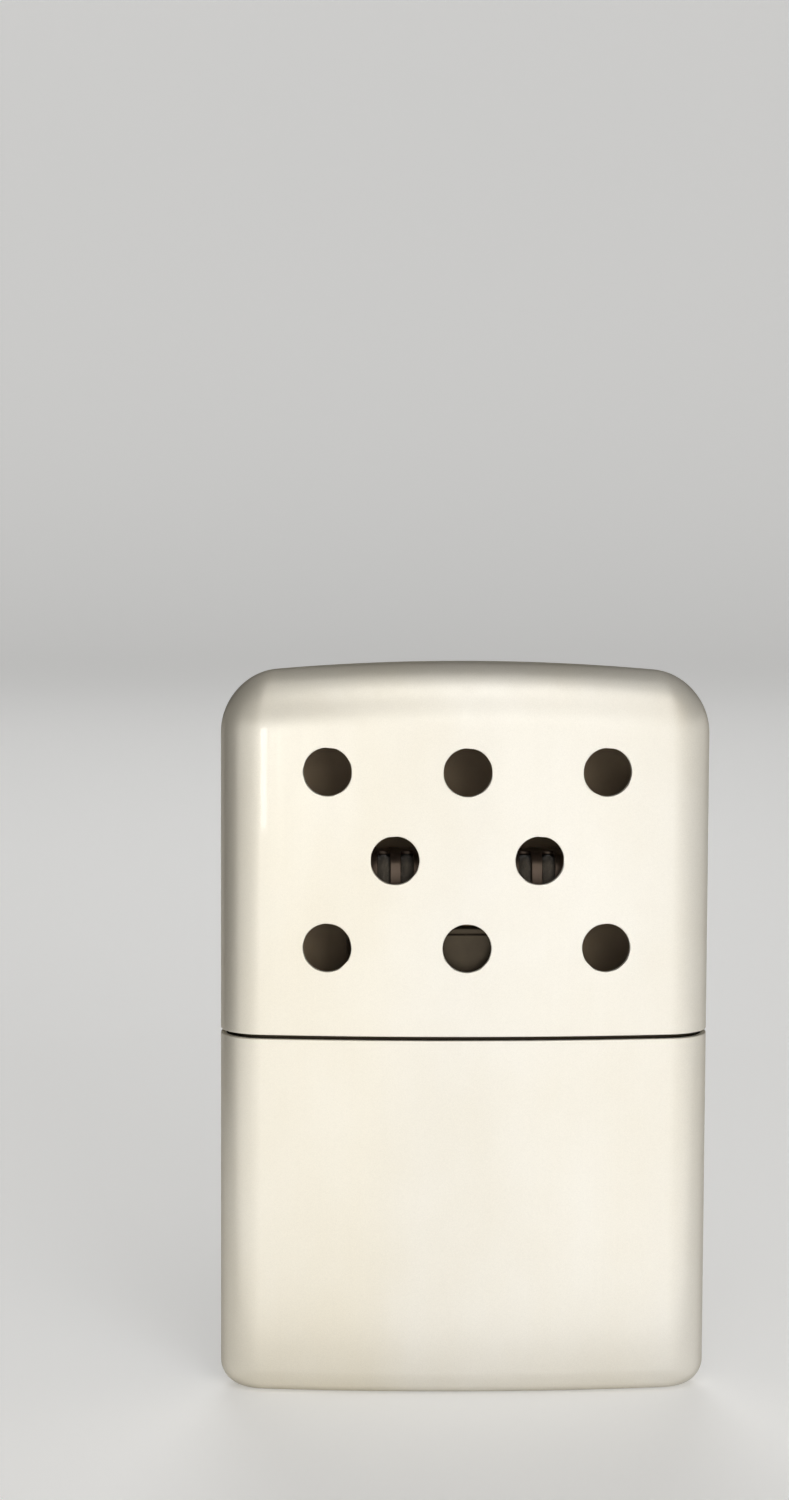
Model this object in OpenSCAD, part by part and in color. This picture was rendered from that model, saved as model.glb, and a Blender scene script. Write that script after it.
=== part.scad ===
// Pocket catalytic hand warmer: a drawn steel fuel case packed with cotton, a
// steel closure with a filler neck, a catalytic burner that pushes onto the
// neck, and a vented lid that pushes down over the closure's collar.
// Millimetres. +Z is up and the front, with the vents, faces -Y. The origin is
// the centre of the flat that the warmer stands on.

/* [Body] */
// Width across the rounded sides
body_w = 50.8; // [46:0.1:60]
// Thickness at the middle of the bowed faces
body_d = 12.7; // [12.2:0.1:16]
// Height over the crown of the lid
body_h = 76.2; // [74:0.1:90]
// Radius of the long upright edges in plan
edge_r = 4.9; // [4:0.05:5]
// Plan radius of the bowed front and back
face_bow_r = 160; // [150:5:600]
// Sheet thickness of the lid and the case
wall = 0.6; // [0.4:0.05:0.8]

/* [Seam] */
// Height of the case's rim
case_h = 37.5; // [34:0.1:40]
// Gap between the case's rim and the lid's rim
seam_gap = 0.4; // [0.2:0.05:0.8]

/* [Lid] */
// Radius of the crown over the lid, side to side
crown_r = 250; // [150:5:600]
// Reach of the rounded top edge down from the crown
lid_edge_h = 6.0; // [3:0.1:7]
// Reach of that edge in from the sides
lid_edge_side = 5.8; // [3:0.1:6.5]
// Reach of that edge in from the faces
lid_edge_face = 4.7; // [3:0.1:4.8]
// Diameter of a vent
vent_d = 5.0; // [3:0.1:6]
// Distance between neighbouring vents in a row of three
vent_pitch = 14.4; // [12:0.1:15.5]
// Distance between the two vents of the middle row
vent_mid_pitch = 14.9; // [12:0.1:16]
// Distance between rows of vents
vent_row_pitch = 9.1; // [7:0.1:9.5]
// Height of the middle row above the lid's rim
vent_mid_rise = 18.3; // [16:0.1:20]

/* [Case] */
// Radius of the case's bottom edge
base_edge_r = 2.6; // [1.5:0.1:3.5]

/* [Closure] */
// Height of the collar above the case's rim
collar_rise = 5.6; // [4:0.1:6.5]
// Depth of the collar inside the case
collar_drop = 5.0; // [3:0.1:9]
// Sheet thickness of the closure
collar_t = 0.5; // [0.3:0.05:0.6]
// Sliding gap between the collar and the shells around it
collar_gap = 0.12; // [0.08:0.01:0.2]
// Radius of the closure's top edge
deck_edge_r = 0.9; // [0.7:0.1:1.6]
// Height by which a grip dimple stands off the collar
dimple_rise = 0.07; // [0.04:0.01:0.07]
// Radius of a grip dimple's dome
dimple_r = 2.2; // [1.5:0.1:2.6]
// Distance between the two grip dimples on a face
dimple_pitch = 30; // [20:1:36]

/* [Neck] */
// Outside width of the filler neck
neck_w = 23.6; // [18:0.1:25]
// Room round the neck's flange under the flat of the deck
neck_room = 0.1; // [0.05:0.01:0.3]
// Corner radius of the filler neck
neck_r = 2.7; // [2:0.1:3.2]
// Height of the neck above the deck
neck_rise = 5.0; // [4.6:0.1:6]
// Sheet thickness of the neck
neck_t = 0.4; // [0.3:0.05:0.5]
// Width of the flange that holds the neck under the deck
neck_flange = 0.7; // [0.5:0.1:1]

/* [Burner] */
// Sheet thickness of the burner's stampings
burner_t = 0.4; // [0.3:0.05:0.5]
// Sliding gap between the burner's skirt and the neck
neck_gap = 0.1; // [0.06:0.01:0.15]
// Lift of the seated burner off the deck and off the neck's mouth
seat_gap = 0.2; // [0.1:0.05:0.3]
// Width of the ledge that seats the burner over the neck's mouth
ledge_w = 1.4; // [1:0.1:1.8]
// Height of the ribbed cage above the crimped bead
cage_h = 7.4; // [6:0.1:8.5]
// Radius of the cage's top edge
cage_edge_r = 2.0; // [1.2:0.1:2.4]
// Number of slots along each face of the cage
slot_count = 8; // [4:1:9]
// Width of a slot
slot_w = 1.3; // [0.8:0.05:1.5]
// Height of the plain band under the slots
slot_sill = 1.3; // [0.8:0.1:2]
// Depth of the solid spine along the top of the cage
spine_d = 2.4; // [1.6:0.1:3.2]
// Projection of the bead that crimps the cage to the skirt
bead_out = 0.5; // [0.45:0.05:0.6]
// Height of that bead above its ledge
bead_h = 0.9; // [0.8:0.1:1.2]
// Projection of the cage's foot into the bead
foot_out = 0.25; // [0.15:0.05:0.3]
// Thickness of that foot
foot_t = 0.3; // [0.2:0.05:0.35]
// Gap between the crimped pieces
crimp_gap = 0.04; // [0.02:0.01:0.06]
// Width of a grip tongue in the skirt
tongue_w = 4.4; // [3:0.1:6]
// Height of a grip tongue
tongue_h = 3.0; // [2:0.1:3.6]
// Distance between the two grip tongues on a face
tongue_pitch = 12; // [10:0.5:13]
// Width of the cut round a tongue
tongue_cut = 0.5; // [0.3:0.05:0.8]

/* [Catalyst] */
// Gap between the catalyst mat and the metal around it
mat_gap = 0.2; // [0.1:0.05:0.3]
// Thickness of the perforated plate under the mat
plate_t = 0.3; // [0.2:0.05:0.5]
// Hole diameter in that plate
plate_hole_d = 1.2; // [0.8:0.1:1.4]
// Number of holes along that plate
plate_columns = 11; // [7:2:13]
// Number of rows of holes across that plate
plate_rows = 3; // [1:1:4]

/* [Filling] */
// Space between the cotton and the metal around it
pad_gap = 0.3; // [0.2:0.05:0.5]
// Space between neighbouring cotton layers
layer_gap = 0.2; // [0.1:0.05:0.4]
// Thickness of the middle cotton layer
middle_layer_t = 3.4; // [2.5:0.1:5]
// Thickness of the felt pad at the bottom of the neck
felt_t = 1.4; // [1:0.1:1.6]

/* [Hidden] */

pearl = [0.93, 0.90, 0.82];
nickel = [0.78, 0.78, 0.77];
burnt_steel = [0.42, 0.37, 0.31];
cotton = [0.93, 0.91, 0.86];
felt_grey = [0.80, 0.78, 0.73];
catalyst_grey = [0.25, 0.24, 0.23];

corner_steps = 7; // facets of a plan corner
bow_steps = 7; // facets of half a bowed face
shell_steps = 8; // facets of a shell's rounded edge
soft_steps = 4; // facets of a soft piece's rounded edge
hole_steps = 48; // facets of a round hole, dome or corner
cut = 1; // overshoot of a cutting tool
straight_bow_r = 50000; // bow radius of faces that are straight in plan

// Heights, from the bottom up
lid_z = case_h + seam_gap;
deck_z = case_h + collar_rise;
collar_z = case_h - collar_drop;
flange_z = deck_z - collar_t - neck_t;
pad_top_z = flange_z - pad_gap;
mouth_z = deck_z + neck_rise;
skirt_z = deck_z + seat_gap;
ledge_z = mouth_z + seat_gap;
plate_z = ledge_z + burner_t;
cage_z = ledge_z + bead_h;
cage_top_z = cage_z + cage_h;

// Insets of the pieces that lie inside the shells
collar_inset = wall + collar_gap;
filling_inset = collar_inset + collar_t + pad_gap;

// Size of the neck and the burner in plan, from the collar inwards. The neck's
// depth is cut to a whole 0.02 mm.
neck_bow = crown_drop(neck_w / 2 - neck_r, face_bow_r);
neck_d = floor(50 * (body_d - 2 * (collar_inset + deck_edge_r + neck_bow + neck_room + neck_flange))) / 50;
skirt_grow = neck_gap + burner_t;
burner_w = neck_w + 2 * skirt_grow;
burner_d = neck_d + 2 * skirt_grow;
burner_r = neck_r + skirt_grow;

// ---------------------------------------------------------------- plan shapes

// A plan is [width, depth, corner radius, bow radius of the front and back].
body_plan = [body_w, body_d, edge_r, face_bow_r];
cage_plan = [burner_w, burner_d, burner_r, straight_bow_r];

// The same plan, drawn in by one inset all round
function inset_plan(plan, inset) =
    [plan[0] - 2 * inset, plan[1] - 2 * inset, plan[2] - inset, plan[3] - inset];

// The largest corner radius at which the front and back still have a side
// between them
function full_round(plan) =
    (plan[3] * plan[1] - pow(plan[1] / 2, 2) - pow(plan[0] / 2, 2)) / (2 * plan[3] - plan[0]);
function corner_r(plan) = max(0.05, min(plan[2], full_round(plan) - 0.02));

function bow_centre(plan) = plan[3] - plan[1] / 2;
function corner_x(plan) = plan[0] / 2 - corner_r(plan);
function corner_y(plan) =
    sqrt(pow(plan[3] - corner_r(plan), 2) - pow(corner_x(plan), 2)) - bow_centre(plan);
function bow_angle(plan) = asin(corner_x(plan) / (plan[3] - corner_r(plan)));

// The right half of the front, from its middle round to the side
function quarter(plan) =
    let (bow = bow_angle(plan), turn = 90 - bow)
    concat(
        [for (i = [0:bow_steps])
            let (a = bow * i / bow_steps)
            [plan[3] * sin(a), bow_centre(plan) - plan[3] * cos(a)]],
        [for (i = [1:corner_steps])
            let (a = turn * (i / corner_steps - 1))
            [corner_x(plan) + corner_r(plan) * cos(a),
             corner_r(plan) * sin(a) - corner_y(plan)]]
    );

// The whole outline, counter-clockwise from the middle of the front
function outline(plan) =
    let (q = quarter(plan), n = len(q))
    concat(
        q,
        [for (i = [n - 1:-1:0]) [q[i][0], -q[i][1]]],
        [for (i = [1:n - 1]) [-q[i][0], -q[i][1]]],
        [for (i = [n - 1:-1:1]) [-q[i][0], q[i][1]]]
    );

// ---------------------------------------------------------------------- lofts

// A station is [plan, height, crown radius]: one ring of a loft. A crown
// radius of 0 keeps the ring flat.
function crown_drop(x, radius) =
    radius == 0 ? 0 : radius - sqrt(radius * radius - x * x);

// An edge is [reach in from the sides, reach in from the faces, reach along Z].
function edge_of(r) = [r, r, r];
function inset_edge(edge, inset) = [for (reach = edge) reach - inset];

// The plan at an angle round an edge, from 0 at its foot to 90 at its end
function edge_plan(plan, edge, a) =
    let (part = 1 - cos(a))
    [plan[0] - 2 * edge[0] * part, plan[1] - 2 * edge[1] * part,
     plan[2] - min(edge[0], edge[1], plan[2]) * part, plan[3]];

function top_edge(plan, edge, z, crown, steps) =
    [for (i = [0:steps])
        let (a = 90 * i / steps)
        [edge_plan(plan, edge, a), z - edge[2] * (1 - sin(a)), crown]];
function bottom_edge(plan, edge, z, steps) =
    [for (i = [steps:-1:0])
        let (a = 90 * i / steps)
        [edge_plan(plan, edge, a), z + edge[2] * (1 - sin(a)), 0]];

// A closed solid through the stations, from the bottom up. Its lowest ring is
// flat, and its top is bridged straight across from front to back.
module loft(stations) {
    n = corner_steps + bow_steps + 1; // points of a quarter
    count = 4 * n - 2;
    top = (len(stations) - 1) * count;
    points = [for (s = stations, p = outline(s[0]))
        [p[0], p[1], s[1] - crown_drop(p[0], s[2])]];
    sides = [for (i = [0:len(stations) - 2], j = [0:count - 1])
        let (k = (j + 1) % count, low = i * count, high = low + count)
        [low + j, high + j, high + k, low + k]];
    bottom_face = [for (j = [0:count - 1]) j];
    // The front point i of the right half faces the back point 2n - 1 - i, and
    // the back point 2n - 1 + i of the left half faces the front point
    // 4n - 2 - i.
    right_half = [for (i = [0:n - 2])
        [2 * n - 1 - i, 2 * n - 2 - i, i + 1, i]];
    left_half = [for (i = [0:n - 2])
        let (back = 2 * n - 1 + i, front = (4 * n - 2 - i) % count)
        [front, 4 * n - 3 - i, back + 1, back]];
    bridge = [for (strip = concat(right_half, left_half)) [for (j = strip) top + j]];
    polyhedron(points = points, faces = concat(sides, [bottom_face], bridge));
}

// Upright bar with a rounded rectangular plan, grown sideways by grow
module bar(w, d, r, grow, low, high) {
    corner = r + grow;
    x = w / 2 + grow - corner;
    y = d / 2 + grow - corner;
    translate([0, 0, low])
        linear_extrude(height = high - low) {
            square([2 * x, 2 * (y + corner)], center = true);
            square([2 * (x + corner), 2 * y], center = true);
            for (sx = [-1, 1], sy = [-1, 1])
                translate([sx * x, sy * y])
                    circle(r = corner, $fn = hole_steps);
        }
}

module neck_bar(grow, low, high) {
    bar(neck_w, neck_d, neck_r, grow, low, high);
}

module burner_bar(grow, low, high) {
    bar(burner_w, burner_d, burner_r, grow, low, high);
}

// ------------------------------------------------------------------------ lid

// Outer form of the lid, drawn in by the inset and reaching down to low
module lid_form(inset, low) {
    plan = inset_plan(body_plan, inset);
    edge = inset_edge([lid_edge_side, lid_edge_face, lid_edge_h], inset);
    loft(concat(
        [[plan, low, 0]],
        top_edge(plan, edge, body_h - inset, crown_r, shell_steps)));
}

module vent_row(row, columns, pitch) {
    for (column = columns)
        translate([column * pitch, 0, lid_z + vent_mid_rise + row * vent_row_pitch])
            rotate([90, 0, 0])
                cylinder(d = vent_d, h = body_d / 2 + cut, $fn = hole_steps);
}

module vented_lid() {
    color(pearl)
        difference() {
            lid_form(0, lid_z);
            lid_form(wall, lid_z - cut);
            vent_row(1, [-1, 0, 1], vent_pitch);
            vent_row(0, [-0.5, 0.5], vent_mid_pitch);
            vent_row(-1, [-1, 0, 1], vent_pitch);
        }
}

// ----------------------------------------------------------------------- tank

module case_form(inset, high) {
    plan = inset_plan(body_plan, inset);
    loft(concat(
        bottom_edge(plan, edge_of(base_edge_r - inset), inset, shell_steps),
        [[plan, high, 0]]));
}

module tank_case() {
    color(pearl)
        difference() {
            case_form(0, case_h);
            case_form(wall, case_h + cut);
        }
}

module collar_form(inset, low, high) {
    plan = inset_plan(body_plan, collar_inset + inset);
    loft(concat(
        [[plan, low, 0]],
        top_edge(plan, edge_of(deck_edge_r - inset), high, 0, shell_steps)));
}

// Shallow domes on the collar's faces, which press on the lid
module grip_dimples() {
    plan = inset_plan(body_plan, collar_inset);
    face_y = plan[1] / 2 - crown_drop(dimple_pitch / 2, plan[3]);
    for (x = [-1, 1], y = [-1, 1])
        translate([x * dimple_pitch / 2, y * (face_y + dimple_rise - dimple_r),
                   (lid_z + deck_z - deck_edge_r) / 2])
            sphere(r = dimple_r, $fn = hole_steps);
}

module tank_closure() {
    color(nickel)
        difference() {
            union() {
                collar_form(0, collar_z, deck_z);
                grip_dimples();
            }
            collar_form(collar_t, collar_z - cut, deck_z - collar_t);
            neck_bar(neck_gap, deck_z - collar_t - cut, deck_z + cut);
        }
}

module filler_neck() {
    color(nickel)
        difference() {
            union() {
                neck_bar(0, flange_z, mouth_z);
                neck_bar(neck_flange, flange_z, flange_z + neck_t);
            }
            neck_bar(-neck_t, flange_z - cut, mouth_z + cut);
        }
}

module throat_felt() {
    color(felt_grey)
        neck_bar(-neck_t - pad_gap, pad_top_z, pad_top_z + felt_t);
}

// The space that the cotton fills
module filling() {
    plan = inset_plan(body_plan, filling_inset);
    loft(concat(
        bottom_edge(plan, edge_of(base_edge_r - wall), wall + pad_gap, soft_steps),
        top_edge(plan, edge_of(deck_edge_r), pad_top_z, 0, soft_steps)));
}

// The part of the filling between two depths
module cotton_layer(front, back) {
    color(cotton)
        intersection() {
            filling();
            translate([-body_w / 2, front, 0])
                cube([body_w, back - front, case_h + collar_rise]);
        }
}

module wadding_front() {
    cotton_layer(-body_d / 2, -middle_layer_t / 2 - layer_gap);
}

module wadding_middle() {
    cotton_layer(-middle_layer_t / 2, middle_layer_t / 2);
}

module wadding_rear() {
    cotton_layer(middle_layer_t / 2 + layer_gap, body_d / 2);
}

// --------------------------------------------------------------------- burner

// Cuts up both sides of each grip tongue, open at the skirt's lower edge
module tongue_cuts() {
    for (x = [-1, 1], side = [-1, 1])
        translate([x * tongue_pitch / 2 + side * (tongue_w + tongue_cut) / 2 - tongue_cut / 2,
                   -burner_d / 2 - cut, skirt_z - cut])
            cube([tongue_cut, burner_d + 2 * cut, tongue_h + cut]);
}

// Skirt that grips the neck, with a ledge over the neck's mouth and a bead
// that is rolled in over the cage's foot
module burner_base() {
    color(nickel)
        difference() {
            union() {
                burner_bar(0, skirt_z, cage_z);
                burner_bar(bead_out, ledge_z, cage_z);
            }
            neck_bar(neck_gap, skirt_z - cut, ledge_z);
            neck_bar(-ledge_w, ledge_z - cut, plate_z + cut);
            burner_bar(crimp_gap, plate_z, cage_z + cut);
            burner_bar(foot_out + crimp_gap, plate_z, plate_z + foot_t + crimp_gap);
            tongue_cuts();
        }
}

module support_plate() {
    inset = burner_t + crimp_gap;
    pitch_x = (burner_w - 2 * inset) / (plate_columns + 1);
    pitch_y = (burner_d - 2 * inset) / (plate_rows + 1);
    color(nickel)
        difference() {
            burner_bar(-inset, plate_z, plate_z + plate_t);
            for (i = [1:plate_columns], j = [1:plate_rows])
                translate([(i - (plate_columns + 1) / 2) * pitch_x,
                           (j - (plate_rows + 1) / 2) * pitch_y, plate_z - cut])
                    cylinder(d = plate_hole_d, h = plate_t + 2 * cut, $fn = 24);
        }
}

// Middle of slot i along a face of the cage
function slot_x(i) =
    (i - (slot_count - 1) / 2) * (burner_w - 2 * burner_r + slot_w) / slot_count;

// Slots that run up a face, round the top edge and in to the spine
module cage_slots() {
    reach = (burner_d - spine_d) / 2 + cut;
    for (i = [0:slot_count - 1], side = [0, 180])
        rotate([0, 0, side])
            translate([slot_x(i) - slot_w / 2, spine_d / 2, cage_z + slot_sill])
                cube([slot_w, reach, cage_h]);
}

module cage_form(inset, low) {
    plan = inset_plan(cage_plan, inset);
    loft(concat(
        [[plan, low, 0]],
        top_edge(plan, edge_of(cage_edge_r - inset), cage_top_z - inset, 0, soft_steps)));
}

module burner_cage() {
    color(burnt_steel)
        difference() {
            union() {
                cage_form(0, plate_z);
                burner_bar(foot_out, plate_z, plate_z + foot_t);
            }
            cage_form(burner_t, plate_z - cut);
            cage_slots();
        }
}

// Glass-fibre mat, swollen into a soft ridge behind each slot of the cage
module catalyst_mat() {
    ridge_r = slot_w / 2 - crimp_gap;
    ridge_low = cage_z + slot_sill + ridge_r + crimp_gap;
    ridge_high = cage_top_z - cage_edge_r - ridge_r;
    color(catalyst_grey)
        union() {
            cage_form(burner_t + mat_gap, plate_z + plate_t);
            for (i = [0:slot_count - 1], side = [-1, 1])
                translate([slot_x(i), side * (burner_d / 2 - burner_t - ridge_r / 2), 0]) {
                    translate([0, 0, ridge_low])
                        cylinder(r = ridge_r, h = ridge_high - ridge_low, $fn = 24);
                    for (z = [ridge_low, ridge_high])
                        translate([0, 0, z])
                            sphere(r = ridge_r, $fn = 24);
                }
        }
}

vented_lid();
tank_case();
tank_closure();
filler_neck();
throat_felt();
wadding_front();
wadding_middle();
wadding_rear();
burner_base();
support_plate();
catalyst_mat();
burner_cage();
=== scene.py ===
"""Looks of a pocket catalytic hand warmer: pearl-lacquered drawn shells, a
nickelled collar and neck, a ribbed burner and its soft filling, built round
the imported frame."""

import math

import bpy
import numpy as np
from mathutils import Matrix, Vector, noise
from mathutils.geometry import delaunay_2d_cdt


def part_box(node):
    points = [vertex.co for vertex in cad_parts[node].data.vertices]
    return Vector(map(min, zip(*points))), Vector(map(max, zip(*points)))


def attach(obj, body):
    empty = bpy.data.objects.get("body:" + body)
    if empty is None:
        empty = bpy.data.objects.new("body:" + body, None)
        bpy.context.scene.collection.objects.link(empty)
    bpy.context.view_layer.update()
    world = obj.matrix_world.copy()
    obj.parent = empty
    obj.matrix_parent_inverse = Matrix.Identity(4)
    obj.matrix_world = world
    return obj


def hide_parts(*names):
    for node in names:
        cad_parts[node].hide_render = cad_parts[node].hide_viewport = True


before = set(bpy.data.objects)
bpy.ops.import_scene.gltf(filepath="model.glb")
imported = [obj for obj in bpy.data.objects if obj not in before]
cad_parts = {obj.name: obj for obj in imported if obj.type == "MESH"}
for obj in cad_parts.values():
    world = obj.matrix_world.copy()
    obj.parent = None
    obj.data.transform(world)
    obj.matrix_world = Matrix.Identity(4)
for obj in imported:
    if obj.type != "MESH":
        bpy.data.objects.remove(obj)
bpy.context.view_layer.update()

MM = 0.001
TAU = 2 * math.pi

# ------------------------------------------------------------ sizes, in mm
# Taken from the frame
LID_LOW, LID_HIGH = (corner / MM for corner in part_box("vented_lid"))
CASE_LOW, CASE_HIGH = (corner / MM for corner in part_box("tank_case"))
COLLAR_LOW, COLLAR_HIGH = (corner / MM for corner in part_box("tank_closure"))
NECK_LOW, NECK_HIGH = (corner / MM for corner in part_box("filler_neck"))
BASE_LOW, BASE_HIGH = (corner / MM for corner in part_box("burner_base"))
PLATE_LOW, PLATE_HIGH = (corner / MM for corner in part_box("support_plate"))
CAGE_LOW, CAGE_HIGH = (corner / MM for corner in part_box("burner_cage"))

BODY_W = LID_HIGH.x - LID_LOW.x
BODY_D = LID_HIGH.y - LID_LOW.y
BODY_H = LID_HIGH.z
LID_Z = LID_LOW.z
CASE_H = CASE_HIGH.z
DECK_Z = COLLAR_HIGH.z
MOUTH_Z = NECK_HIGH.z

# The drawn shells. An edge is given by how far its rounding reaches in from the
# sides, in from the faces and along the wall; a roll rounds a sheet's cut rim
EDGE_R = 4.9
FACE_BOW_R = 160.0
WALL = 0.6
CROWN_R = 250.0
CROWN_FADE = 2.4
LID_EDGE = (5.8, 4.7, 6.0)
BASE_EDGE = (2.6, 2.6, 2.6)
SHELL_ROLL = 0.11

# The vents
VENT_D = 5.0
VENT_PITCH = 14.4
VENT_MID_PITCH = 14.9
VENT_ROW_PITCH = 9.1
VENT_MID_RISE = 18.3
# Each row's place in row pitches, the columns in it and their pitch
VENT_ROWS = ((1, (-1, 0, 1), VENT_PITCH), (0, (-0.5, 0.5), VENT_MID_PITCH),
             (-1, (-1, 0, 1), VENT_PITCH))

# The closure
COLLAR_INSET = (CASE_HIGH.x - CASE_LOW.x - COLLAR_HIGH.x + COLLAR_LOW.x) / 2
COLLAR_T = 0.5
COLLAR_ROLL = 0.12
DECK_ROLL = 0.1
DECK_EDGE = (0.9, 0.9, 0.9)
# How far the painted seam shade on the collar reaches below and above the seam
SEAM_SHADE_REACH = 0.8
DIMPLE_PITCH = 30.0
DIMPLE_RISE = 0.07
DIMPLE_R = 0.9

# The neck and the burner
NECK_T = 0.4
NECK_FLANGE = 0.7
NECK_R = 2.7
NECK_W = NECK_HIGH.x - NECK_LOW.x - 2 * NECK_FLANGE
NECK_D = NECK_HIGH.y - NECK_LOW.y - 2 * NECK_FLANGE
NECK_GAP = 0.1
BURNER_T = 0.4
SKIRT_GROW = NECK_GAP + BURNER_T
BURNER_W = NECK_W + 2 * SKIRT_GROW
BURNER_D = NECK_D + 2 * SKIRT_GROW
BURNER_R = NECK_R + SKIRT_GROW
CAGE_EDGE = (2.0, 2.0, 2.0)
SLOT_COUNT = 8
SLOT_W = 1.3
SLOT_SILL = 1.3
SPINE_D = 2.4
BEAD_OUT = 0.5
LEDGE_W = 1.4
TONGUE_W = 4.4
TONGUE_H = 3.0
TONGUE_PITCH = 12.0
TONGUE_CUT = 0.5
# Heights on the sides of a cut beside a tongue, and where its round end begins
CUT_PLACES = (0.8, 1.6, 2.3)
CUT_ARC = 2.6
SKIRT_ROLL = 0.12
CAGE_ROLL = 0.1
# So large that a face with this bow is straight
STRAIGHT_BOW_R = 50000.0

# The soft filling
MAT_GAP = 0.2
MAT_LIFT = 0.05
MAT_SWELL = 0.40
MAT_LUMP = 0.16
COTTON_GAP = 0.3
COTTON_CORNER_R = 2.2
COTTON_EDGE_R = 1.6
COTTON_LUMP = 0.22
FELT_GAP = 0.3
FELT_EDGE_R = 0.55
FELT_LUMP = 0.10

# How surfaces are worked out: the step for a slope, the distances within
# which two places are one, and the steps round a rolled edge
SLOPE_STEP = 1e-3
REPEAT = 1e-4
MERGE = 1e-7
ROLL_STEPS = 5


# ------------------------------------------------------------------ forms
def smooth(x):
    x = np.clip(x, 0, 1)
    return x * x * (3 - 2 * x)


def slope_cross(form, place, h):
    """A form's normals at those places, of any length and to either side."""
    ds, dt = (form.at(place + step, h) - form.at(place - step, h)
              for step in ([SLOPE_STEP, 0], [0, SLOPE_STEP]))
    return np.cross(ds, dt)


class Form:
    """A drawn form: an upright wall on a bowed plan, then a rounded edge, then
    a cap that is bridged from front to back. A place on it is (s, t): s mm
    round the wall from the middle of the front, and t mm from the rim over the
    edge to the cap's middle line. Depth h is measured into the sheet."""

    def __init__(self, width, depth, corner, bow, rim, end, edge, crown=0.0):
        self.width, self.depth, self.corner, self.bow = width, depth, corner, bow
        self.rim, self.edge, self.crown = rim, edge, crown
        self.way = 1 if end > rim else -1
        self.wall_t = abs(end - rim) - edge[2]
        self.edge_t = math.pi / 4 * (edge[1] + edge[2])
        self.cap_t = depth / 2 - edge[1]
        r, angle, cx, cy = self.corners(width, depth, corner, bow)
        self.face_s = bow * angle
        self.corner_s = r * (math.pi / 2 - angle)
        self.side_s = float(cy)
        self.quarter = self.face_s + self.corner_s + self.side_s

    @staticmethod
    def corners(w, d, corner, bow):
        """Corner radius, bow angle and corner centre of a plan."""
        full = (bow * d - (d / 2) ** 2 - (w / 2) ** 2) / (2 * bow - w)
        r = np.maximum(0.05, np.minimum(corner, full - 0.02))
        cx = w / 2 - r
        cy = np.sqrt((bow - r) ** 2 - cx ** 2) - (bow - d / 2)
        return r, np.arcsin(cx / (bow - r)), cx, cy

    def plan_point(self, s, w, d, corner, bow):
        q = self.quarter
        s = np.mod(s, 4 * q)
        k = np.minimum(np.floor(s / q).astype(int), 3)
        run = np.choose(k, [s, 2 * q - s, s - 2 * q, 4 * q - s])
        r, angle, cx, cy = self.corners(w, d, corner, bow)
        a = angle * np.clip(run / self.face_s, 0, 1)
        turn = (math.pi / 2 - angle) * (np.clip((run - self.face_s) / self.corner_s, 0, 1) - 1)
        down = 1 - np.clip((run - self.face_s - self.corner_s) / max(self.side_s, 1e-6), 0, 1)
        on_face = run <= self.face_s
        x = np.where(on_face, bow * np.sin(a), cx + r * np.cos(turn))
        y = np.where(on_face, bow - d / 2 - bow * np.cos(a), r * np.sin(turn) - cy * down)
        return x * np.where(k < 2, 1, -1), y * np.where((k == 0) | (k == 3), 1, -1)

    def at(self, place, h):
        """Points in mm for places (n, 2) at depth h."""
        s, t = place[:, 0], place[:, 1]
        a = np.clip((t - self.wall_t) / self.edge_t, 0, 1) * math.pi / 2
        over = np.clip((t - self.wall_t - self.edge_t) / self.cap_t, 0, 1)
        part = 1 - np.cos(a)
        side, face, along = (reach - h for reach in self.edge)
        w = self.width - 2 * h - 2 * side * part
        d = self.depth - 2 * h - 2 * face * part
        corner = self.corner - h - np.minimum(np.minimum(side, face), self.corner - h) * part
        x, y = self.plan_point(s, w, d, corner, self.bow - h * (1 - part))
        z = self.rim + self.way * (np.minimum(t, self.wall_t) + along * np.sin(a))
        if self.crown:
            fade = smooth((t - self.wall_t + CROWN_FADE) / CROWN_FADE)
            z = z - (self.crown - np.sqrt(self.crown ** 2 - x ** 2)) * fade
        return np.stack([x, y * (1 - over), z], 1)

    def normal(self, place, h):
        """Unit normals at those places, out of the form's outer side."""
        t_max = self.wall_t + self.edge_t + self.cap_t - 2 * SLOPE_STEP
        place = np.stack([place[:, 0], np.minimum(place[:, 1], t_max)], 1)
        n = slope_cross(self, place, h)
        out = self.at(place, h) - self.at(place, h + 0.02)
        n *= np.sign(np.sum(n * out, 1))[:, None]
        length = np.linalg.norm(n, axis=1)
        # The cap's middle line ends in single points, which face straight along Z
        n[length < 1e-12] = [0.0, 0.0, float(self.way)]
        return n / np.linalg.norm(n, axis=1)[:, None]

    def s_lines(self, face_step, corner_steps):
        """Places round the wall: even along the faces, finer round the corners."""
        face = np.linspace(0, self.face_s, max(2, round(self.face_s / face_step) + 1))
        corner = self.face_s + np.linspace(0, self.corner_s, corner_steps + 1)[1:]
        side = [self.quarter] if self.side_s > 1e-3 else []
        one = np.concatenate([face, corner, side])
        q = self.quarter
        half = np.concatenate([one, (2 * q - one[::-1])[1:]])
        return np.concatenate([half, (half + 2 * q)[1:]])

    def t_lines(self, start, wall_step, edge_steps, cap_steps):
        """Places from the rim up the wall, over the edge and along the cap."""
        wall_steps = max(1, round((self.wall_t - start) / wall_step))
        wall = np.linspace(start, self.wall_t, wall_steps + 1)
        edge = self.wall_t + np.linspace(0, self.edge_t, edge_steps + 1)[1:]
        cap = self.wall_t + self.edge_t + np.linspace(0, self.cap_t, cap_steps + 1)[1:]
        return np.concatenate([wall, edge, cap])


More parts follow.
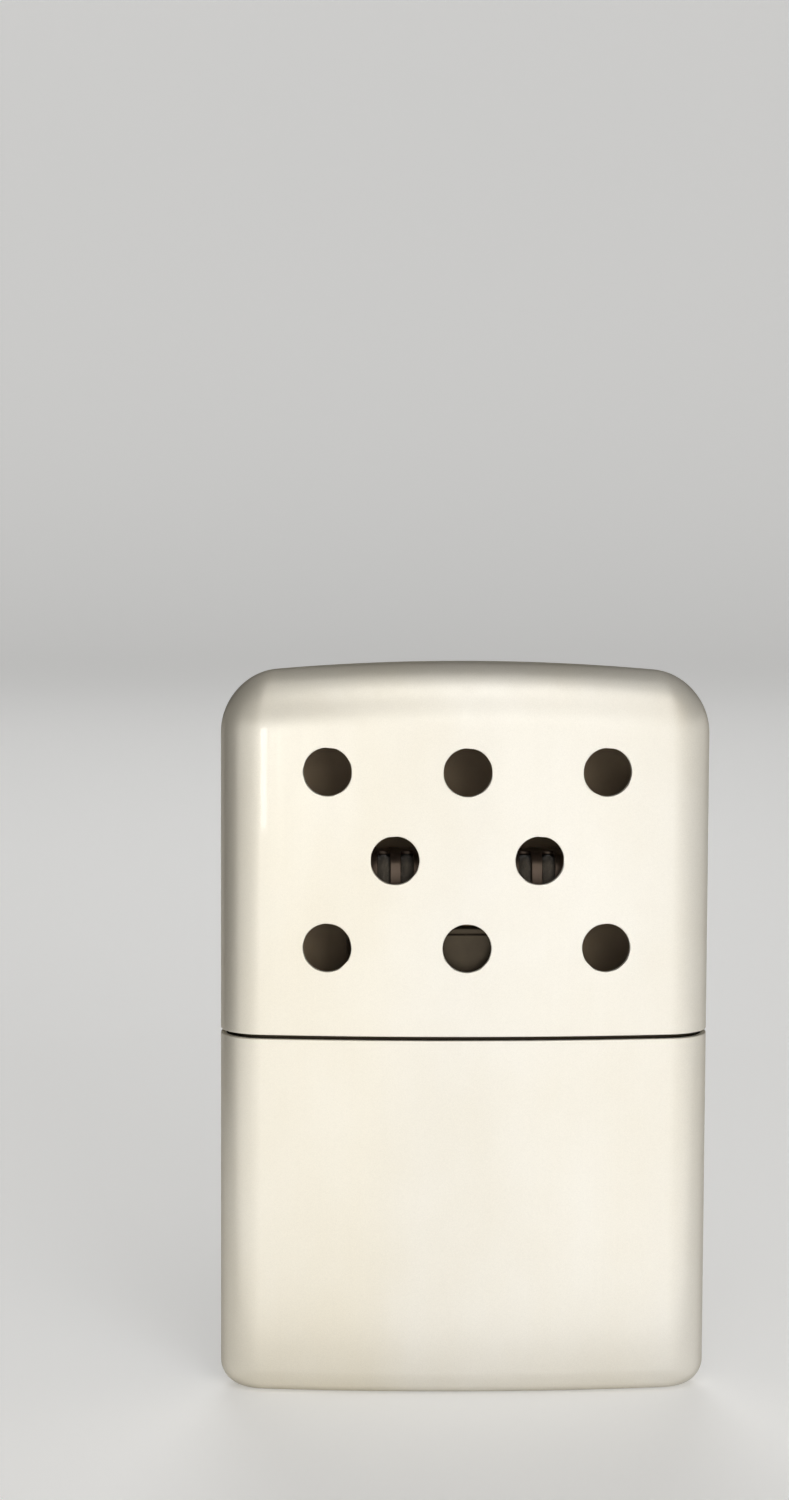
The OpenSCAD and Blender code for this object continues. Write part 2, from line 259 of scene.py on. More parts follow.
class Flat:
    """A level sheet: a place on it is (x, y), and depth h goes down."""

    def __init__(self, z):
        self.z = z

    def at(self, place, h):
        return np.column_stack([place, np.full(len(place), self.z - h)])

    def normal(self, place, h):
        return np.tile([0.0, 0.0, 1.0], (len(place), 1))


class Upright:
    """An upright skin round a form's plan: a place on it is (s, t), s mm round
    the plan and t mm up, and depth h goes inwards."""

    def __init__(self, form, low):
        self.form, self.low = form, low

    def at(self, place, h):
        f = self.form
        x, y = f.plan_point(place[:, 0], f.width - 2 * h, f.depth - 2 * h, f.corner - h, f.bow)
        return np.stack([x, y, self.low + place[:, 1]], 1)

    def normal(self, place, h):
        n = slope_cross(self, place, h)
        return n / np.linalg.norm(n, axis=1)[:, None]


# ---------------------------------------------------------- holes and rims
class Hole:
    """A rounded rectangular hole in a sheet, at place (cs, ct)."""

    SIGNS = ((1, 1), (-1, 1), (-1, -1), (1, -1))

    def __init__(self, cs, ct, half_s, half_t, r, steps=14):
        self.c, self.half, self.r, self.steps = np.array([cs, ct]), (half_s, half_t), r, steps

    def distance(self, place):
        core = np.array(self.half) - self.r
        out = np.abs(place - self.c) - core
        return (np.linalg.norm(np.maximum(out, 0), axis=1)
                + np.minimum(np.max(out, axis=1), 0) - self.r)

    def ring(self, grow, side_step=0.8):
        """Places round the hole, grown by grow, and the way into the hole."""
        places, ways = [], []
        core = np.array(self.half) - self.r
        for k in range(4):
            sign = np.array(self.SIGNS[k])
            for a in np.linspace(k, k + 1, self.steps + 1) * math.pi / 2:
                out = np.array([math.cos(a), math.sin(a)])
                places.append(self.c + sign * core + out * (self.r + grow))
                ways.append(-out)
            last = places[-1]
            following = np.array(self.SIGNS[(k + 1) % 4])
            gap = (following - sign) * core
            count = int(np.linalg.norm(gap) / side_step)
            for i in range(1, count):
                places.append(last + gap * i / count)
                ways.append(-out)
        places, ways = np.array(places), np.array(ways)
        keep = np.linalg.norm(places - np.roll(places, 1, axis=0), axis=1) > REPEAT
        return places[keep], ways[keep]


def clear_of(hole_list, places, margin):
    """Which of the places lie further than margin from every hole."""
    clear = np.ones(len(places), bool)
    for hole in hole_list:
        clear &= hole.distance(places) > margin
    return clear


def delaunay(places, edges):
    """Places and triangles of a plane mesh that keeps those edges."""
    out, _, faces, _, _, _ = delaunay_2d_cdt([Vector(p) for p in places], edges, [], 0, MERGE)
    return np.array([tuple(p) for p in out]), np.array([f for f in faces if len(f) == 3])


def ring_edges(start, count):
    return [(start + i, start + (i + 1) % count) for i in range(count)]


def triangulate(grid, rings, hole_list, margin):
    """Triangles over a grid of places with rings of places round the holes."""
    places = [grid[clear_of(hole_list, grid, margin)]]
    edges = []
    count = len(places[0])
    for ring in rings:
        edges += ring_edges(count, len(ring))
        places.append(ring)
        count += len(ring)
    places, faces = delaunay(np.concatenate(places), edges)
    return places, faces[clear_of(hole_list, places[faces].mean(1), 0.0)]


class Skin:
    """Collects points with their normals and faces, then makes one object."""

    def __init__(self):
        self.points, self.normals, self.faces, self.slots, self.count = [], [], [], [], 0

    def add(self, points, normals, faces, slot=0):
        points, normals, faces = np.asarray(points), np.asarray(normals), np.asarray(faces)
        a, b, c = (points[faces[:, i]] for i in range(3))
        facing = np.sum(np.cross(b - a, c - a) * normals[faces].mean(1), 1)
        faces = np.where((facing < 0)[:, None], faces[:, ::-1], faces)
        self.points.append(points)
        self.normals.append(normals)
        self.faces.append(faces + self.count)
        self.slots.append(np.full(len(faces), slot))
        self.count += len(points)

    def strip(self, rows, normals, closed):
        """Faces between rows of points of equal length."""
        n = rows.shape[1]
        i = np.arange(n if closed else n - 1)
        j = (i + 1) % n
        faces = []
        for k in range(len(rows) - 1):
            low, high = k * n, (k + 1) * n
            faces.append(np.stack([low + i, low + j, high + j], 1))
            faces.append(np.stack([low + i, high + j, high + i], 1))
        self.add(rows.reshape(-1, 3), normals.reshape(-1, 3), np.concatenate(faces))

    def build(self, name, materials, body, node):
        """One object on a body, which stands for a node of the frame."""
        points, normals, faces, slots = (
            np.concatenate(part) for part in (self.points, self.normals, self.faces, self.slots))
        _, first, index = np.unique(np.round(points, 4), axis=0,
                                    return_index=True, return_inverse=True)
        faces = index.reshape(-1)[faces]
        points, normals = points[first], normals[first]
        whole = ((faces[:, 0] != faces[:, 1]) & (faces[:, 1] != faces[:, 2])
                 & (faces[:, 2] != faces[:, 0]))
        mesh = bpy.data.meshes.new(name)
        mesh.from_pydata((points * MM).tolist(), [], faces[whole].tolist())
        mesh.polygons.foreach_set("material_index", slots[whole].astype(np.int32))
        mesh.polygons.foreach_set("use_smooth", np.ones(int(whole.sum()), bool))
        mesh.normals_split_custom_set_from_vertices(normals.tolist())
        mesh.update()
        piece = add_object(name, mesh)
        for material in materials:
            mesh.materials.append(material)
        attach(piece, body)
        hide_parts(node)
        return piece


def add_object(name, data):
    item = bpy.data.objects.new(name, data)
    bpy.context.scene.collection.objects.link(item)
    return item


def both_sides(skin, form, thickness, places, faces, slots=(0, 0)):
    skin.add(form.at(places, 0.0), form.normal(places, 0.0), faces, slots[0])
    skin.add(form.at(places, thickness), -form.normal(places, thickness), faces, slots[1])


def sheet_metal(skin, form, thickness, grid, roll, hole_list=(), rims=(), margin=0.35,
                slots=(0, 0)):
    """Both sides of a sheet over a grid of places, with every hole and rim
    rounded by roll."""
    rings = [hole.ring(roll) for hole in hole_list]
    places, faces = triangulate(grid, [ring for ring, _ in rings], hole_list, margin)
    both_sides(skin, form, thickness, places, faces, slots)
    for places, ways in rings:
        rolled_edge(skin, form, thickness, places, ways, True, roll)
    for places, ways in rims:
        rolled_edge(skin, form, thickness, places, ways, False, roll)


def rolled_edge(skin, form, thickness, places, ways, closed, roll):
    """The rounded edge of a sheet, from its outer side to its inner side."""
    outer = [(roll * math.sin(a), roll * (1 - math.cos(a)), math.cos(a), math.sin(a))
             for a in np.linspace(0, math.pi / 2, ROLL_STEPS + 1)]
    inner = [(e, thickness - h, -along, out) for e, h, along, out in outer[::-1]]
    rows, normals = [], []
    for e, h, along, out in outer + inner:
        at = form.at(places + e * ways, h)
        n = form.normal(places + e * ways, h)
        way = form.at(places + (e + SLOPE_STEP) * ways, h) - at
        way /= np.linalg.norm(way, axis=1)[:, None]
        rows.append(at)
        normals.append(along * n + out * way)
    skin.strip(np.array(rows), np.array(normals), closed)


def grid_of(s_lines, t_lines):
    s, t = np.meshgrid(s_lines, t_lines)
    return np.stack([s.ravel(), t.ravel()], 1)


def rim_of(s_lines, t):
    """Places along a rim at t, and the way off the sheet there."""
    places = np.stack([s_lines, np.full(len(s_lines), t)], 1)
    return places, np.tile([0.0, -1.0], (len(s_lines), 1))


# -------------------------------------------------------------- materials
class Nodes:
    """A material's node tree, with short calls to add and join nodes."""

    def __init__(self, name):
        self.material = bpy.data.materials.new(name)
        self.material.use_nodes = True
        self.tree = self.material.node_tree
        self.shader = self.tree.nodes["Principled BSDF"]
        self.place = self.add("ShaderNodeTexCoord").outputs["Object"]

    def add(self, kind, **settings):
        node = self.tree.nodes.new(kind)
        for key, value in settings.items():
            if key in node.inputs:
                node.inputs[key].default_value = value
            else:
                setattr(node, key, value)
        return node

    def join(self, source, target):
        self.tree.links.new(source, target)

    def stretched(self, scale):
        """The place in object space, stretched by scale (per metre)."""
        mapping = self.add("ShaderNodeMapping")
        mapping.inputs["Scale"].default_value = scale
        self.join(self.place, mapping.inputs["Vector"])
        return mapping.outputs["Vector"]

    def noise(self, scale, detail=2.0, roughness=0.5, distortion=0.0):
        node = self.add("ShaderNodeTexNoise", Scale=1.0, Detail=detail, Roughness=roughness,
                        Distortion=distortion)
        self.join(self.stretched(scale), node.inputs["Vector"])
        return node.outputs["Fac"]

    def ramp(self, fac, stops):
        node = self.add("ShaderNodeValToRGB")
        ramp = node.color_ramp
        while len(ramp.elements) < len(stops):
            ramp.elements.new(0.5)
        for element, (position, color) in zip(ramp.elements, stops):
            element.position = position
            element.color = (*color, 1.0) if len(color) == 3 else color
        self.join(fac, node.inputs["Fac"])
        return node.outputs["Color"]

    def map_range(self, value, source, target=(0.0, 1.0), kind="LINEAR"):
        node = self.add("ShaderNodeMapRange", interpolation_type=kind)
        for key, limit in zip(("From Min", "From Max", "To Min", "To Max"), (*source, *target)):
            node.inputs[key].default_value = limit
        self.join(value, node.inputs["Value"])
        return node.outputs["Result"]

    def span(self, fac, low, high):
        """fac, usually 0.3 to 0.7 from a noise, spread over low to high."""
        return self.map_range(fac, (0.3, 0.7), (low, high))

    def rise(self, low, high):
        """From 0 to 1 as the place rises from low to high, in mm."""
        height = self.add("ShaderNodeSeparateXYZ")
        self.join(self.place, height.inputs["Vector"])
        return self.map_range(height.outputs["Z"], (low * MM, high * MM))

    def calc(self, operation, *values):
        node = self.add("ShaderNodeMath", operation=operation)
        for value, socket in zip(values, node.inputs):
            if isinstance(value, bpy.types.NodeSocket):
                self.join(value, socket)
            else:
                socket.default_value = value
        return node.outputs["Value"]

    def mix(self, fac, a, b, blend="MIX"):
        node = self.add("ShaderNodeMix", data_type="RGBA", blend_type=blend)
        for key, value in (("Factor", fac), ("A", a), ("B", b)):
            sockets = [s for s in node.inputs if s.name == key and s.enabled]
            if isinstance(value, bpy.types.NodeSocket):
                self.join(value, sockets[0])
            elif key == "Factor":
                sockets[0].default_value = value
            else:
                sockets[0].default_value = (*value, 1.0)
        return [s for s in node.outputs if s.enabled][0]

    def bump(self, height, strength, distance_mm, previous=None):
        node = self.add("ShaderNodeBump", Strength=strength, Distance=distance_mm * MM)
        self.join(height, node.inputs["Height"])
        if previous is not None:
            self.join(previous, node.inputs["Normal"])
        return node.outputs["Normal"]

    def set(self, **values):
        for key, value in values.items():
            socket = self.shader.inputs[key.replace("_", " ")]
            if isinstance(value, bpy.types.NodeSocket):
                self.join(value, socket)
            else:
                socket.default_value = value
        return self.material


def pearl_lacquer():
    m = Nodes("pearl_lacquer")
    clouds = m.noise((70, 70, 45), 3.0, 0.55)
    warm = m.ramp(clouds, [(0.30, (0.885, 0.835, 0.715)), (0.70, (0.925, 0.885, 0.785))])
    flakes = m.add("ShaderNodeTexVoronoi", Scale=1.0)
    m.join(m.stretched((14000, 14000, 14000)), flakes.inputs["Vector"])
    glint = m.ramp(flakes.outputs["Color"],
                   [(0.0, (0.96, 0.96, 0.96)), (1.0, (1.03, 1.03, 1.03))])
    # Painted sheen: faint cool-white vertical bands in the lacquer's colour, standing in for
    # reflections of soft vertical light edges
    painted_sheen_bands = m.noise((55, 55, 4), 1.0, 0.4)
    painted_sheen = m.ramp(painted_sheen_bands, [(0.40, (1.0, 0.995, 0.985)), (0.60, (1.0, 1.01, 1.045))])
    color = m.mix(1.0, m.mix(1.0, warm, glint, "MULTIPLY"), painted_sheen, "MULTIPLY")
    streak = m.noise((900, 900, 12), 2.0, 0.6)
    peel = m.noise((700, 700, 700), 1.0, 0.4)
    under = m.bump(streak, 0.10, 0.02)
    coat = m.bump(peel, 0.06, 0.02)
    m.join(coat, m.shader.inputs["Coat Normal"])
    return m.set(Base_Color=color, Roughness=m.span(streak, 0.35, 0.42), Metallic=0.6,
                 Specular_Tint=(0.20, 0.16, 0.09, 1.0), Specular_IOR_Level=0.3,
                 Coat_Weight=0.25, Coat_Roughness=0.03, Coat_IOR=1.5, Normal=under)


def lid_lining():
    """Bare steel inside the lid, browned by the burner."""
    m = Nodes("lid_lining")
    stain = m.noise((120, 120, 90), 4.0, 0.6)
    color = m.ramp(stain, [(0.3, (0.30, 0.22, 0.135)), (0.7, (0.42, 0.315, 0.205))])
    return m.set(Base_Color=color, Roughness=m.span(stain, 0.5, 0.65), Metallic=0.4)


def nickelled_steel():
    m = Nodes("nickelled_steel")
    brush = m.noise((40, 40, 5200), 3.0, 0.6)
    smear = m.noise((160, 160, 160), 3.0, 0.5)
    color = m.ramp(smear, [(0.3, (0.50, 0.49, 0.465)), (0.7, (0.60, 0.59, 0.565))])
    # Painted shade: a near-black line on the collar where the seam between the shells is, standing
    # in for the shade in that narrow gap
    unshaded, dark = (1.0, 1.0, 1.0), (0.05, 0.04, 0.028)
    seam_shade = m.ramp(m.rise(CASE_H - SEAM_SHADE_REACH, LID_Z + SEAM_SHADE_REACH),
                   [(0.15, unshaded), (0.36, dark), (0.64, dark), (0.85, unshaded)])
    color = m.mix(1.0, color, seam_shade, "MULTIPLY")
    return m.set(Base_Color=color, Roughness=m.span(brush, 0.20, 0.34), Metallic=1.0,
                 Normal=m.bump(brush, 0.12, 0.01))


def burner_steel():
    m = Nodes("burner_steel")
    smear = m.noise((240, 240, 240), 4.0, 0.6)
    grain = m.noise((4200, 4200, 700), 2.0, 0.6)
    # Near-black brown: heat tint on the steel, made darker still as painted shade, so that the
    # burner stays dark where it shows through the vents
    color = m.ramp(smear, [(0.3, (0.045, 0.034, 0.021)), (0.7, (0.075, 0.058, 0.037))])
    return m.set(Base_Color=color, Roughness=m.span(smear, 0.30, 0.45), Metallic=0.75,
                 Normal=m.bump(grain, 0.15, 0.01))


def tinted_steel():
    """Cage steel, tinted straw, brown and blue by heat, most near the top."""
    m = Nodes("tinted_steel")
    cloud = m.noise((300, 300, 220), 4.0, 0.6)
    heat = m.calc("MULTIPLY_ADD", cloud, 0.9, m.rise(CAGE_LOW.z, CAGE_HIGH.z))
    tint = m.ramp(heat, [
        (0.30, (0.13, 0.10, 0.065)), (0.62, (0.21, 0.145, 0.07)), (0.90, (0.17, 0.108, 0.06)),
        (1.0, (0.12, 0.088, 0.066))])
    return m.set(Base_Color=tint, Roughness=m.span(cloud, 0.34, 0.50), Metallic=0.8,
                 Normal=m.bump(cloud, 0.1, 0.02))


def fibre_mat():
    m = Nodes("fibre_mat")
    strands = m.noise((3800, 3800, 3800), 5.0, 0.75, 1.5)
    patch = m.noise((500, 500, 500), 3.0, 0.6)
    fine = m.ramp(strands, [(0.3, (0.034, 0.028, 0.020)), (0.72, (0.13, 0.11, 0.083))])
    broad = m.ramp(patch, [(0.3, (0.055, 0.046, 0.035)), (0.7, (0.10, 0.084, 0.066))])
    color = m.mix(0.5, fine, broad)
    return m.set(Base_Color=color, Roughness=0.9, Normal=m.bump(strands, 0.7, 0.08),
                 Sheen_Weight=0.3, Sheen_Roughness=0.4)


def cotton_batting():
    m = Nodes("cotton_batting")
    strands = m.noise((1500, 1500, 900), 6.0, 0.72, 1.8)
    color = m.ramp(strands, [(0.3, (0.74, 0.72, 0.66)), (0.7, (0.90, 0.89, 0.85))])
    return m.set(Base_Color=color, Roughness=0.95, Normal=m.bump(strands, 0.6, 0.15),
                 Sheen_Weight=0.5, Sheen_Roughness=0.5, Subsurface_Weight=0.08)


def pressed_felt():
    m = Nodes("pressed_felt")
    strands = m.noise((2600, 2600, 2600), 6.0, 0.7, 1.2)
    color = m.ramp(strands, [(0.3, (0.55, 0.53, 0.48)), (0.7, (0.72, 0.70, 0.65))])
    return m.set(Base_Color=color, Roughness=0.95, Normal=m.bump(strands, 0.6, 0.06),
                 Sheen_Weight=0.4, Sheen_Roughness=0.5)


PEARL = pearl_lacquer()
LINING = lid_lining()
NICKEL = nickelled_steel()
BURNER_STEEL = burner_steel()
TINTED = tinted_steel()
FIBRE = fibre_mat()
COTTON = cotton_batting()
FELT = pressed_felt()


# ----------------------------------------------------------------- shells
def make_lid():
    form = Form(BODY_W, BODY_D, EDGE_R, FACE_BOW_R, LID_Z, BODY_H, LID_EDGE, CROWN_R)
    vent_list = []
    for row, columns, pitch in VENT_ROWS:
        for column in columns:
            s = form.bow * math.asin(column * pitch / form.bow)
            t = VENT_MID_RISE + row * VENT_ROW_PITCH
            vent_list.append(Hole(s, t, VENT_D / 2, VENT_D / 2, VENT_D / 2, 20))
    s_lines = form.s_lines(0.8, 22) - form.quarter
    t_lines = form.t_lines(SHELL_ROLL, 0.9, 20, 5)
    skin = Skin()
    sheet_metal(skin, form, WALL, grid_of(s_lines, t_lines), SHELL_ROLL, vent_list,
                [rim_of(s_lines, SHELL_ROLL)], slots=(0, 1))
    skin.build("lid_shell", [PEARL, LINING], "lid", "vented_lid")


def make_case():
    form = Form(BODY_W, BODY_D, EDGE_R, FACE_BOW_R, CASE_H, 0.0, BASE_EDGE)
    s_lines = form.s_lines(0.8, 22)
    t_lines = form.t_lines(SHELL_ROLL, 1.2, 14, 6)
    skin = Skin()
    sheet_metal(skin, form, WALL, grid_of(s_lines, t_lines), SHELL_ROLL,
                rims=[rim_of(s_lines, SHELL_ROLL)], slots=(0, 1))
    skin.build("case_shell", [PEARL, BURNER_STEEL], "tank", "tank_case")


# -------------------------------------------------------- swept metalwork
def bar_form(width, depth, corner, rim=0.0, end=10.0, edge=(1.0, 1.0, 1.0)):
    """A form on the straight-sided rounded plan of the neck or the burner."""
    return Form(width, depth, corner, STRAIGHT_BOW_R, rim, end, edge)


def rounded_path(corners, steps=8):
    """A closed path through (out, z, radius) corners, rounded by their radii."""
    path = []
    count = len(corners)
    for i, (out, z, radius) in enumerate(corners):
        here = np.array([out, z])
        if radius == 0:
            path.append(here)
            continue
        before = np.array(corners[i - 1][:2]) - here
        after = np.array(corners[(i + 1) % count][:2]) - here
        before, after = before / np.linalg.norm(before), after / np.linalg.norm(after)
        half = math.acos(float(np.clip(before @ after, -1, 1))) / 2
        start, end = (here + way * radius / math.tan(half) for way in (before, after))
        centre = here + (before + after) / np.linalg.norm(before + after) * radius / math.sin(half)
        a, b = start - centre, end - centre
        for f in np.linspace(0, 1, steps + 1):
            way = a * (1 - f) + b * f
            path.append(centre + way / np.linalg.norm(way) * radius)
    return np.array(path)


def path_normals(path, side):
    """Unit normals along a closed path, on its left (1) or its right (-1)."""
    along = np.roll(path, -1, axis=0) - np.roll(path, 1, axis=0)
    along /= np.linalg.norm(along, axis=1)[:, None]
    return side * np.stack([-along[:, 1], along[:, 0]], 1)


def sweep(skin, form, path, side):
    """A surface through a closed path of (out, z), taken round a form's plan."""
    s = form.s_lines(1.2, 18)
    normals = path_normals(path, side)
    path, normals = (np.concatenate([part, part[:1]]) for part in (path, normals))
    rows, row_normals = [], []
    for (out, z), (across, up) in zip(path, normals):
        points = []
        for grow in (out, out + SLOPE_STEP):
            x, y = form.plan_point(s, form.width + 2 * grow, form.depth + 2 * grow,
                                   form.corner + grow, form.bow)
            points.append(np.stack([x, y], 1))
        way = points[1] - points[0]
        way /= np.linalg.norm(way, axis=1)[:, None]
        rows.append(np.column_stack([points[0], np.full(len(s), z)]))
        row_normals.append(np.column_stack([way * across, np.full(len(s), up)]))
    skin.strip(np.array(rows), np.array(row_normals), False)


def ways_off(path):
    """Ways that move an open path of places evenly to its right, mitred at
    its corners."""
    step = np.diff(path, axis=0)
    step /= np.linalg.norm(step, axis=1)[:, None]
    right = np.stack([step[:, 1], -step[:, 0]], 1)
    before, after = np.concatenate([right[:1], right]), np.concatenate([right, right[-1:]])
    return (before + after) / (1 + np.sum(before * after, 1))[:, None]


def dense(path, step, closed=True):
    """The same path with no step longer than step."""
    points = []
    ends = np.roll(path, -1, axis=0) if closed else np.concatenate([path[1:], path[-1:]])
    for here, following in zip(path, ends):
        count = max(1, math.ceil(float(np.linalg.norm(following - here)) / step))
        points += [here + (following - here) * i / count for i in range(count)]
    return np.array(points)


# ---------------------------------------------------------------- closure
class Dimpled(Form):
    """The collar, whose faces stand out a little in round grip dimples."""

    dimple_list = ()

    def at(self, place, h):
        points = super().at(place, h)
        if not self.dimple_list:
            return points
        rise = np.zeros(len(place))
        for s, t in self.dimple_list:
            r = np.hypot(place[:, 0] - s, place[:, 1] - t) / DIMPLE_R
            rise += DIMPLE_RISE * np.cos(np.minimum(r, 1) * math.pi / 2) ** 2
        points[:, 1] += rise * np.sign(points[:, 1])
        return points


def make_collar():
    inset = COLLAR_INSET
    form = Dimpled(BODY_W - 2 * inset, BODY_D - 2 * inset, EDGE_R - inset, FACE_BOW_R - inset,
                   COLLAR_LOW.z, DECK_Z, DECK_EDGE)
    half_pitch = form.bow * math.asin(DIMPLE_PITCH / 2 / form.bow)
    height = (LID_Z + DECK_Z - DECK_EDGE[2]) / 2 - COLLAR_LOW.z
    form.dimple_list = [(turn + x * half_pitch, height)
                        for turn in (0, 2 * form.quarter) for x in (-1, 1)]
    s_lines = form.s_lines(0.9, 18) - form.quarter
    grid = [grid_of(s_lines, form.t_lines(COLLAR_ROLL, 0.9, 10, 0))]
    for s, t in form.dimple_list:
        for r in np.linspace(0.1, 1.3, 8) * DIMPLE_R:
            turn = np.linspace(0, TAU, 20, endpoint=False)
            grid.append(np.stack([s + r * np.cos(turn), t + r * np.sin(turn)], 1))
    skin = Skin()
    sheet_metal(skin, form, COLLAR_T, np.concatenate(grid), COLLAR_ROLL,
                rims=[rim_of(s_lines, COLLAR_ROLL)])

    # The level deck, from the collar's rounded edge in to the neck
    edge = form.at(grid_of(s_lines[:-1], [form.wall_t + form.edge_t]), 0.0)[:, :2]
    hole = Hole(0, 0, NECK_W / 2 + NECK_GAP, NECK_D / 2 + NECK_GAP, NECK_R + NECK_GAP)
    inside = grid_of(np.arange(-19.5, 19.6, 1.5), np.arange(-2.4, 2.5, 1.2))
    sheet_metal(skin, Flat(DECK_Z), COLLAR_T, np.concatenate([edge, inside]), DECK_ROLL, [hole])
    skin.build("collar", [NICKEL], "tank", "tank_closure")


def make_neck():
    form = bar_form(NECK_W, NECK_D, NECK_R)
    low, high, t = NECK_LOW.z, MOUTH_Z, NECK_T
    path = rounded_path([
        (0, high, 0.17), (-t, high, 0.17), (-t, low, 0.12), (NECK_FLANGE, low, 0.1),
        (NECK_FLANGE, low + t, 0.1), (0, low + t, 0.15)])
    skin = Skin()
    sweep(skin, form, dense(path, 1.0), -1)
    skin.build("neck", [NICKEL], "tank", "filler_neck")


# ----------------------------------------------------------------- burner
def skirt_rim(cut_list, quarter):
    """The skirt's lower rim, up and down round each cut beside a tongue."""
    rim = [(-quarter, SKIRT_ROLL)]
    up = (SKIRT_ROLL, *CUT_PLACES)
    for hole in cut_list:
        ring, _ = hole.ring(SKIRT_ROLL)
        arc = ring[ring[:, 1] > CUT_ARC]
        turn = np.arctan2(arc[:, 0] - hole.c[0], arc[:, 1] - TONGUE_H + 0.3)
        side = TONGUE_CUT / 2 + SKIRT_ROLL
        rim += [(hole.c[0] - side, t) for t in up]
        rim += [tuple(p) for p in arc[np.argsort(turn)]]
        rim += [(hole.c[0] + side, t) for t in up[::-1]]
    return np.array([*rim, (3 * quarter, SKIRT_ROLL)])


def make_burner_base():
    """Skirt with two grip tongues a side, and the bead that holds the cage."""
    form = bar_form(BURNER_W, BURNER_D, BURNER_R)
    low, top = BASE_LOW.z, BASE_HIGH.z
    ledge = MOUTH_Z + low - DECK_Z
    q = form.quarter
    skirt = Upright(form, low)
    cuts = [turn + x * TONGUE_PITCH / 2 + side * (TONGUE_W + TONGUE_CUT) / 2
            for turn in (0, 2 * q) for x in (-1, 1) for side in (-1, 1)]
    cut_list = [Hole(s, 0, TONGUE_CUT / 2, TONGUE_H, TONGUE_CUT / 2 - 0.01, 6)
                for s in sorted(cuts)]
    rim = dense(skirt_rim(cut_list, q), 0.8, closed=False)
    grid = grid_of(form.s_lines(0.8, 16) - q, np.linspace(0.7, ledge - low + 0.1, 7))
    grid = grid[clear_of(cut_list, grid, 0.35)]
    places, faces = delaunay(np.concatenate([grid, rim]), ring_edges(len(grid), len(rim))[:-1])
    middle = places[faces].mean(1)
    faces = faces[clear_of(cut_list, middle, 0.02) & (middle[:, 1] > SKIRT_ROLL)]
    skin = Skin()
    both_sides(skin, skirt, BURNER_T, places, faces)
    rolled_edge(skin, skirt, BURNER_T, rim, ways_off(rim), False, SKIRT_ROLL)

    bead = rounded_path([
        (-0.02, ledge - 0.35, 0), (0.0, ledge - 0.12, 0.1), (BEAD_OUT, ledge + 0.06, 0.34),
        (BEAD_OUT, top, 0.42), (0.07, top, 0.05), (0.06, top - 0.5, 0),
        (-BURNER_T, ledge + BURNER_T, 0.1), (-SKIRT_GROW - LEDGE_W, ledge + BURNER_T, 0.12),
        (-SKIRT_GROW - LEDGE_W, ledge, 0.12), (-BURNER_T, ledge, 0.1),
        (-BURNER_T + 0.02, ledge - 0.35, 0)])
    sweep(skin, form, dense(bead, 0.6), 1)
    skin.build("burner_skirt", [BURNER_STEEL], "burner", "burner_base")


def slot_centres(form):
    """Places round the wall of the middles of the slots, front and back."""
    span = (BURNER_W - 2 * BURNER_R + SLOT_W) / SLOT_COUNT
    return [turn + (i - (SLOT_COUNT - 1) / 2) * span
            for turn in (0, 2 * form.quarter) for i in range(SLOT_COUNT)]


def make_cage():
    form = bar_form(BURNER_W, BURNER_D, BURNER_R, PLATE_LOW.z, CAGE_HIGH.z, CAGE_EDGE)
    sill = BASE_HIGH.z + SLOT_SILL - form.rim
    spine = form.wall_t + form.edge_t + (BURNER_D / 2 - CAGE_EDGE[1] - SPINE_D / 2)
    slot_list = [Hole(s, (sill + spine) / 2, SLOT_W / 2, (spine - sill) / 2, SLOT_W / 2 - 0.08, 10)
                 for s in slot_centres(form)]
    s_lines = form.s_lines(0.6, 16) - form.quarter
    t_lines = form.t_lines(CAGE_ROLL, 0.6, 12, 4)
    skin = Skin()
    sheet_metal(skin, form, BURNER_T, grid_of(s_lines, t_lines), CAGE_ROLL, slot_list,
                [rim_of(s_lines, CAGE_ROLL)], margin=0.22)
    skin.build("cage", [TINTED], "burner", "burner_cage")


# ------------------------------------------------------------ soft filling
def drift(points, scale, seed):
    """Smooth noise from -1 to 1 at each point."""
    shift = Vector((seed * 17.3, seed * 5.1, seed * 11.7))
    return np.array([noise.noise(Vector(p) * scale + shift) for p in points])


def lumpy(points, normals, amount, scale, seed):
    """Points pushed inwards by up to about amount, in lumps of two sizes."""
    push = drift(points, scale, seed) * 0.6 + drift(points, scale * 3.1, seed + 1) * 0.4
    return points - normals * (amount * (0.5 + 0.5 * push))[:, None]


